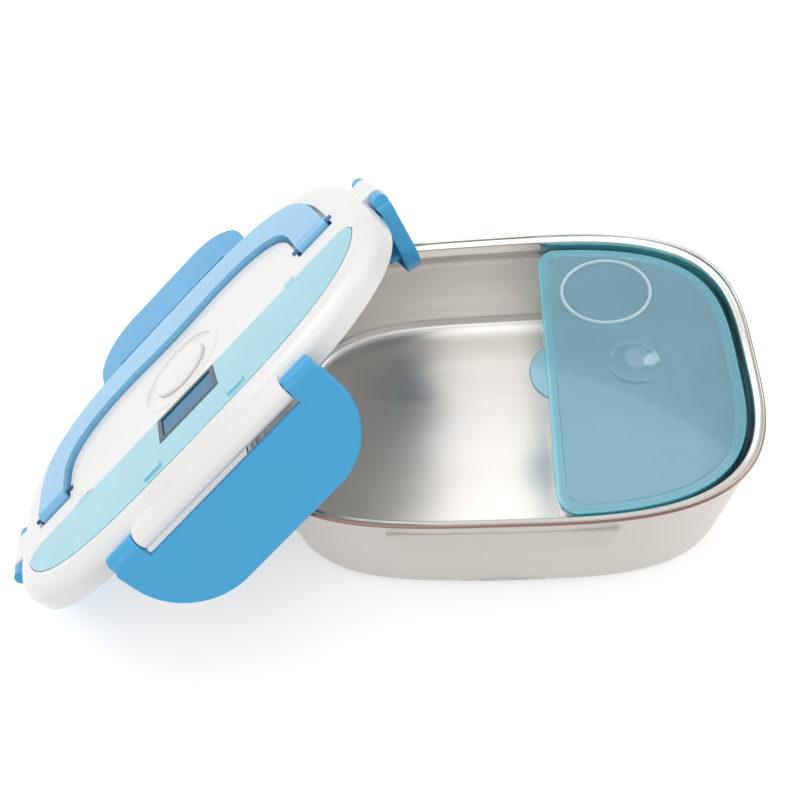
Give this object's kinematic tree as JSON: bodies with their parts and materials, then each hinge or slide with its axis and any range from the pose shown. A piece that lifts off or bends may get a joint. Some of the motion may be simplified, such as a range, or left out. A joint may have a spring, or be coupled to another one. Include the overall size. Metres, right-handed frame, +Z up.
{
  "type": "electric lunch box",
  "caption": "Electric lunch box with a steel tray in a heated casing, a side-dish box, and a loose lid with latches and a folding handle.",
  "frame": {"origin": "centre of the casing footprint, on the surface the box stands on", "axes": "+X along the long side to the right, +Y to the back, +Z up"},
  "size_m": [0.3739, 0.2477, 0.1472],
  "materials": {
    "base_shell": "moulded polypropylene, satin",
    "bottom_cover": "moulded polypropylene",
    "rubber_feet": "moulded rubber",
    "bottom_screws": "zinc-plated steel",
    "inner_well": "moulded polypropylene",
    "heater_plate": "rolled sheet",
    "ptc_heaters": "ceramic elements in a film sleeve",
    "heater_clamp": "bent strip",
    "thermostat": "phenolic body",
    "thermal_fuse": "ceramic body",
    "lead_wires": "silicone-insulated wire",
    "power_inlet": "moulded",
    "inlet_pins": "plated brass",
    "indicator_lamp": "clear red",
    "flap_pin": "steel pin in moulded lugs",
    "inlet_flap": "moulded polypropylene",
    "steel_tray": "brushed stainless steel",
    "side_dish_box": "clear polypropylene",
    "side_dish_cover": "translucent polypropylene",
    "lid_shell": "moulded polypropylene",
    "lid_inner_panel": "moulded polypropylene",
    "lid_gasket": "moulded silicone",
    "vent_seal": "moulded silicone",
    "spoon_cover_pins": "steel",
    "handle_pins": "steel",
    "latch_pins": "steel",
    "spoon_cover": "translucent polypropylene",
    "label_frame": "printed frame",
    "label_card": "plain window",
    "vent_plug": "moulded polypropylene",
    "carry_handle": "moulded polypropylene",
    "latch_front": "moulded ABS",
    "latch_back": "moulded ABS",
    "latch_left": "moulded ABS",
    "latch_right": "moulded ABS"
  },
  "bodies": {
    "casing": {"base_shell": "base_shell", "bottom_cover": "bottom_cover", "rubber_feet": "rubber_feet", "bottom_screws": "bottom_screws", "inner_well": "inner_well", "heater_plate": "heater_plate", "ptc_heaters": "ptc_heaters", "heater_clamp": "heater_clamp", "thermostat": "thermostat", "thermal_fuse": "thermal_fuse", "lead_wires": "lead_wires", "power_inlet": "power_inlet", "inlet_pins": "inlet_pins", "indicator_lamp": "indicator_lamp", "flap_pin": "flap_pin"},
    "flap": {"inlet_flap": "inlet_flap"},
    "tray": {"steel_tray": "steel_tray"},
    "dish_box": {"side_dish_box": "side_dish_box"},
    "dish_cover": {"side_dish_cover": "side_dish_cover"},
    "lid": {"lid_shell": "lid_shell", "lid_inner_panel": "lid_inner_panel", "lid_gasket": "lid_gasket", "vent_seal": "vent_seal", "spoon_cover_pins": "spoon_cover_pins", "handle_pins": "handle_pins", "latch_pins": "latch_pins"},
    "spoon_lid": {"spoon_cover": "spoon_cover", "label_frame": "label_frame", "label_card": "label_card"},
    "vent": {"vent_plug": "vent_plug"},
    "handle": {"carry_handle": "carry_handle"},
    "front_latch": {"latch_front": "latch_front"},
    "back_latch": {"latch_back": "latch_back"},
    "left_latch": {"latch_left": "latch_left"},
    "right_latch": {"latch_right": "latch_right"}
  },
  "joints": [
    {"name": "tray_lift", "type": "slide", "parent": "casing", "child": "tray", "axis": [0, 0, 1], "range_m": [0, 0.075]},
    {"name": "dish_box_lift", "type": "slide", "parent": "tray", "child": "dish_box", "axis": [0, 0, 1], "range_m": [0, 0.06]},
    {"name": "dish_cover_lift", "type": "slide", "parent": "dish_box", "child": "dish_cover", "axis": [0, 0, 1], "range_m": [0, 0.03]},
    {"name": "flap_open", "type": "hinge", "parent": "casing", "child": "flap", "pos_m": [0, -0.0751, 0.0039], "axis": [1, 0, 0], "range_deg": [0, 85]},
    {"name": "lid_away", "type": "slide", "parent": "tray", "child": "lid", "axis": [-0.5613, 0.211, 0.8003], "range_m": [0, 0.12]},
    {"name": "spoon_cover_open", "type": "hinge", "parent": "lid", "child": "spoon_lid", "pos_m": [-0.1434, -0.0147, 0.09389], "axis": [-0.7376, -0.566, -0.3681], "range_deg": [0, 90]},
    {"name": "vent_pull", "type": "slide", "parent": "lid", "child": "vent", "axis": [-0.5613, 0.211, 0.8003], "range_m": [0, 0.003]},
    {"name": "handle_swing", "type": "hinge", "parent": "lid", "child": "handle", "pos_m": [-0.15169, 0.00311, 0.08313], "axis": [0.7376, 0.566, 0.3681], "range_deg": [0, 95]},
    {"name": "front_latch_swing", "type": "hinge", "parent": "lid", "child": "front_latch", "pos_m": [-0.11553, -0.06663, 0.11788], "axis": [-0.7376, -0.566, -0.3681], "range_deg": [-6, 104]},
    {"name": "back_latch_swing", "type": "hinge", "parent": "lid", "child": "back_latch", "pos_m": [-0.18353, 0.07778, 0.03212], "axis": [0.7376, 0.566, 0.3681], "range_deg": [-96, 14]},
    {"name": "left_latch_swing", "type": "hinge", "parent": "lid", "child": "left_latch", "pos_m": [-0.24291, -0.06608, 0.0284], "axis": [-0.3753, 0.7969, -0.4733], "range_deg": [0, 150]},
    {"name": "right_latch_swing", "type": "hinge", "parent": "lid", "child": "right_latch", "pos_m": [-0.05614, 0.07723, 0.12161], "axis": [0.3753, -0.7969, 0.4733], "range_deg": [0, 124]}
  ]
}
